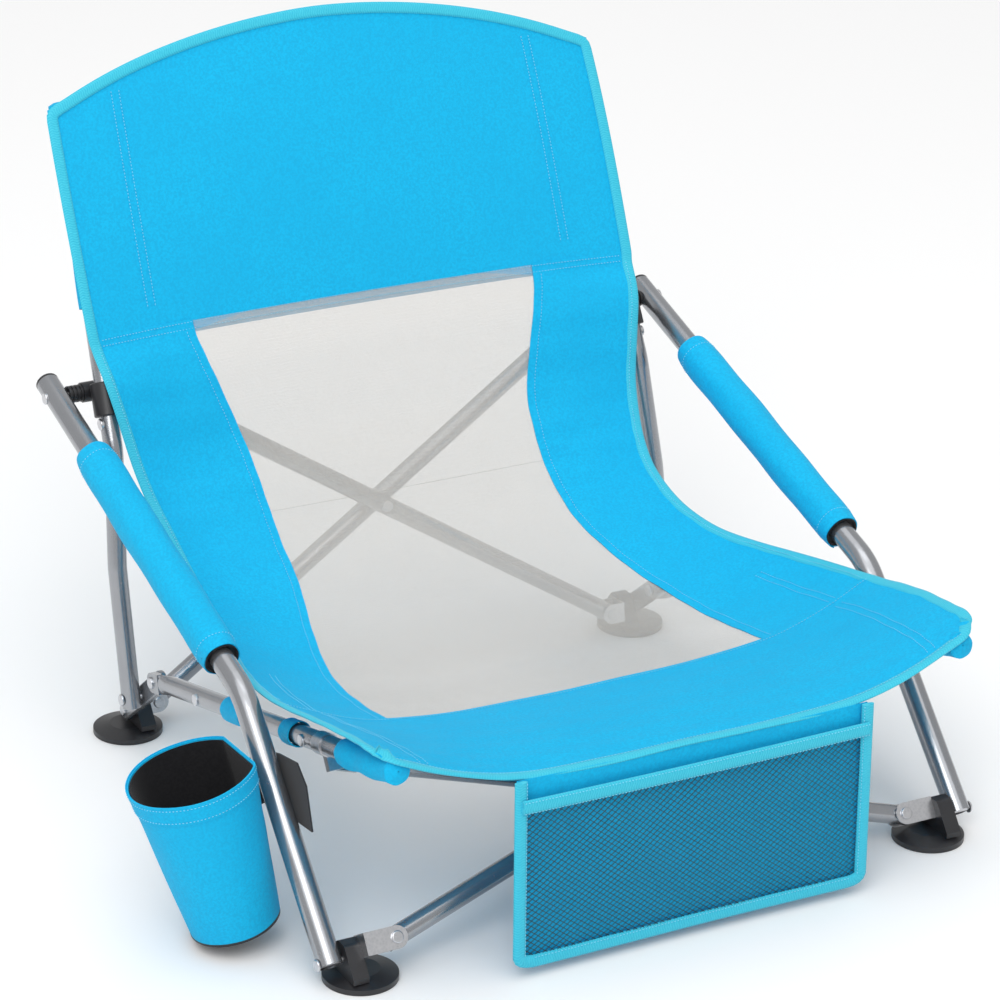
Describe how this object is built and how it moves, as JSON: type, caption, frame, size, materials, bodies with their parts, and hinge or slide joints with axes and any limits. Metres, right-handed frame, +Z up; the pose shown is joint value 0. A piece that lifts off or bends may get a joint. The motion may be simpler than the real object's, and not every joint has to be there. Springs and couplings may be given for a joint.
{
  "type": "folding camp chair",
  "caption": "Low folding sling chair with crossed tube frames, padded arms, mesh sling, front net pocket and a cup holder.",
  "frame": {"origin": "centre of the whole chair's box, at floor level, under the middle", "axes": "+Z up, front of the seat towards -Y, sitter's left hand towards +X; the chair's own middle plane is beside the origin because the cup holder widens one side"},
  "size_m": [0.7836, 0.769, 0.646],
  "materials": {
    "powder_coat": "silver-grey gloss powder coat on steel tube",
    "foot_plastic": "moulded black plastic, slightly glossy",
    "hub_plastic": "moulded black plastic, slightly glossy",
    "zinc_plate": "zinc-plated pressed steel",
    "zinc_rivet": "zinc-plated steel rivets and bolts",
    "blue_fabric": "woven polyester, sky blue, with cyan binding and grey mesh",
    "foam": "closed-cell foam tube",
    "black_fabric": "woven black lining cloth"
  },
  "bodies": {
    "front_left_foot": {"front_left_foot": "foot_plastic", "front_left_bracket": "zinc_plate", "front_left_foot_rivets": "zinc_rivet"},
    "front_right_foot": {"front_right_foot": "foot_plastic", "front_right_bracket": "zinc_plate", "front_right_foot_rivets": "zinc_rivet"},
    "front_cross_left": {"front_cross_tube_left": "powder_coat", "front_top_rivet_left": "zinc_rivet", "front_crossing_rivet": "zinc_rivet"},
    "front_cross_right": {"front_cross_tube_right": "powder_coat", "front_top_rivet_right": "zinc_rivet"},
    "back_cross_left": {"back_cross_tube_left": "powder_coat", "back_top_rivet_left": "zinc_rivet", "back_crossing_rivet_left": "zinc_rivet"},
    "back_cross_right": {"back_cross_tube_right": "powder_coat", "back_top_rivet_right": "zinc_rivet", "back_crossing_rivet_right": "zinc_rivet"},
    "left_leg": {"left_arm_leg_tube": "powder_coat", "left_arm_end_plug": "hub_plastic", "left_arm_sleeve": "blue_fabric", "left_arm_padding": "foam", "left_arm_spacer": "hub_plastic", "left_arm_bolt": "zinc_rivet", "cup_holder": "blue_fabric", "cup_holder_base": "black_fabric", "cup_holder_flap": "black_fabric"},
    "left_hub": {"left_slider_hub": "hub_plastic"},
    "left_post": {"left_back_post": "powder_coat", "left_post_stop_rivet": "zinc_rivet", "sling_back": "blue_fabric"},
    "left_strut": {"left_rear_strut": "powder_coat", "left_strut_rivets": "zinc_rivet"},
    "left_rail": {"left_seat_rail": "powder_coat", "left_corner_bracket": "zinc_plate", "left_rail_screws": "zinc_rivet", "left_rail_cap": "hub_plastic", "sling_seat": "blue_fabric", "front_pocket": "blue_fabric"},
    "rear_left_foot": {"rear_left_foot": "foot_plastic", "rear_left_bracket": "zinc_plate", "rear_left_foot_rivets": "zinc_rivet"},
    "right_leg": {"right_arm_leg_tube": "powder_coat", "right_arm_end_plug": "hub_plastic", "right_arm_sleeve": "blue_fabric", "right_arm_padding": "foam", "right_arm_spacer": "hub_plastic", "right_arm_bolt": "zinc_rivet"},
    "right_hub": {"right_slider_hub": "hub_plastic"},
    "right_post": {"right_back_post": "powder_coat", "right_post_stop_rivet": "zinc_rivet"},
    "right_strut": {"right_rear_strut": "powder_coat", "right_strut_rivets": "zinc_rivet"},
    "right_rail": {"right_seat_rail": "powder_coat", "right_corner_bracket": "zinc_plate", "right_rail_screws": "zinc_rivet", "right_rail_cap": "hub_plastic"},
    "rear_right_foot": {"rear_right_foot": "foot_plastic", "rear_right_bracket": "zinc_plate", "rear_right_foot_rivets": "zinc_rivet"}
  },
  "joints": [
    {"name": "fold", "type": "hinge", "parent": "front_left_foot", "child": "front_cross_left", "pos_m": [-0.20702, -0.3206, 0.03466], "axis": [0, -0.8435, 0.5371], "range_deg": [0, 54], "deforming": ["sling_back", "sling_seat", "front_pocket"]},
    {"name": "front_crossing", "type": "hinge", "parent": "front_cross_left", "child": "front_cross_right", "pos_m": [0.05498, -0.27, 0.09625], "axis": [0, -0.8435, 0.5371], "range_deg": [-108, 0]},
    {"name": "front_right_foot_pivot", "type": "hinge", "parent": "front_cross_right", "child": "front_right_foot", "pos_m": [0.31698, -0.3044, 0.02434], "axis": [0, -0.8435, 0.5371], "range_deg": [0, 54]},
    {"name": "left_leg_pivot", "type": "hinge", "parent": "front_left_foot", "child": "left_leg", "pos_m": [-0.26302, -0.3145, 0.022], "axis": [1, 0, 0], "range_deg": [0, 27.1]},
    {"name": "left_hub_pivot", "type": "hinge", "parent": "left_leg", "child": "left_hub", "pos_m": [-0.24502, 0.265, 0.329], "axis": [1, 0, 0], "range_deg": [-36.1, 0]},
    {"name": "left_post_slide", "type": "slide", "parent": "left_hub", "child": "left_post", "axis": [-0.0434, -0.4381, -0.8979], "range_m": [0, 0.25]},
    {"name": "left_strut_pivot", "type": "hinge", "parent": "left_post", "child": "left_strut", "pos_m": [-0.22702, 0.16969, 0.05423], "axis": [1, 0, 0], "range_deg": [-29.7, 0]},
    {"name": "left_rail_pivot", "type": "hinge", "parent": "left_strut", "child": "left_rail", "pos_m": [-0.22702, 0.1281, 0.08708], "axis": [1, 0, 0], "range_deg": [-58.8, 0]},
    {"name": "rear_left_foot_pivot", "type": "hinge", "parent": "left_strut", "child": "rear_left_foot", "pos_m": [-0.22002, 0.2105, 0.022], "axis": [1, 0, 0], "range_deg": [0, 19.57]},
    {"name": "right_leg_pivot", "type": "hinge", "parent": "front_right_foot", "child": "right_leg", "pos_m": [0.37298, -0.3145, 0.022], "axis": [1, 0, 0], "range_deg": [0, 27.1]},
    {"name": "right_hub_pivot", "type": "hinge", "parent": "right_leg", "child": "right_hub", "pos_m": [0.35498, 0.265, 0.329], "axis": [1, 0, 0], "range_deg": [-36.1, 0]},
    {"name": "right_post_slide", "type": "slide", "parent": "right_hub", "child": "right_post", "axis": [0.0434, -0.4381, -0.8979], "range_m": [0, 0.25]},
    {"name": "right_strut_pivot", "type": "hinge", "parent": "right_post", "child": "right_strut", "pos_m": [0.33698, 0.16969, 0.05423], "axis": [1, 0, 0], "range_deg": [-29.7, 0]},
    {"name": "right_rail_pivot", "type": "hinge", "parent": "right_strut", "child": "right_rail", "pos_m": [0.33698, 0.1281, 0.08708], "axis": [1, 0, 0], "range_deg": [-58.8, 0]},
    {"name": "rear_right_foot_pivot", "type": "hinge", "parent": "right_strut", "child": "rear_right_foot", "pos_m": [0.32998, 0.2105, 0.022], "axis": [1, 0, 0], "range_deg": [0, 19.57]},
    {"name": "back_cross_left_pivot", "type": "hinge", "parent": "rear_left_foot", "child": "back_cross_left", "pos_m": [-0.18902, 0.22003, 0.02187], "axis": [0, -0.993, 0.1181], "range_deg": [0, 42.93]},
    {"name": "back_cross_right_pivot", "type": "hinge", "parent": "rear_right_foot", "child": "back_cross_right", "pos_m": [0.29898, 0.20097, 0.02413], "axis": [0, 0.993, -0.1181], "range_deg": [0, 42.93]}
  ],
  "couplings": [
    {"joint": "front_crossing", "follows": "fold", "ratio": -2},
    {"joint": "front_right_foot_pivot", "follows": "fold", "ratio": 1},
    {"joint": "left_leg_pivot", "follows": "fold", "ratio": 0.50185},
    {"joint": "left_hub_pivot", "follows": "fold", "ratio": -0.66852},
    {"joint": "left_post_slide", "follows": "fold", "m_per_rad": 0.26526},
    {"joint": "left_strut_pivot", "follows": "fold", "ratio": -0.55},
    {"joint": "left_rail_pivot", "follows": "fold", "ratio": -1.0889},
    {"joint": "rear_left_foot_pivot", "follows": "fold", "ratio": 0.36246},
    {"joint": "right_leg_pivot", "follows": "fold", "ratio": 0.50185},
    {"joint": "right_hub_pivot", "follows": "fold", "ratio": -0.66852},
    {"joint": "right_post_slide", "follows": "fold", "m_per_rad": 0.26526},
    {"joint": "right_strut_pivot", "follows": "fold", "ratio": -0.55},
    {"joint": "right_rail_pivot", "follows": "fold", "ratio": -1.0889},
    {"joint": "rear_right_foot_pivot", "follows": "fold", "ratio": 0.36246},
    {"joint": "back_cross_left_pivot", "follows": "fold", "ratio": 0.79505},
    {"joint": "back_cross_right_pivot", "follows": "fold", "ratio": 0.79505}
  ]
}
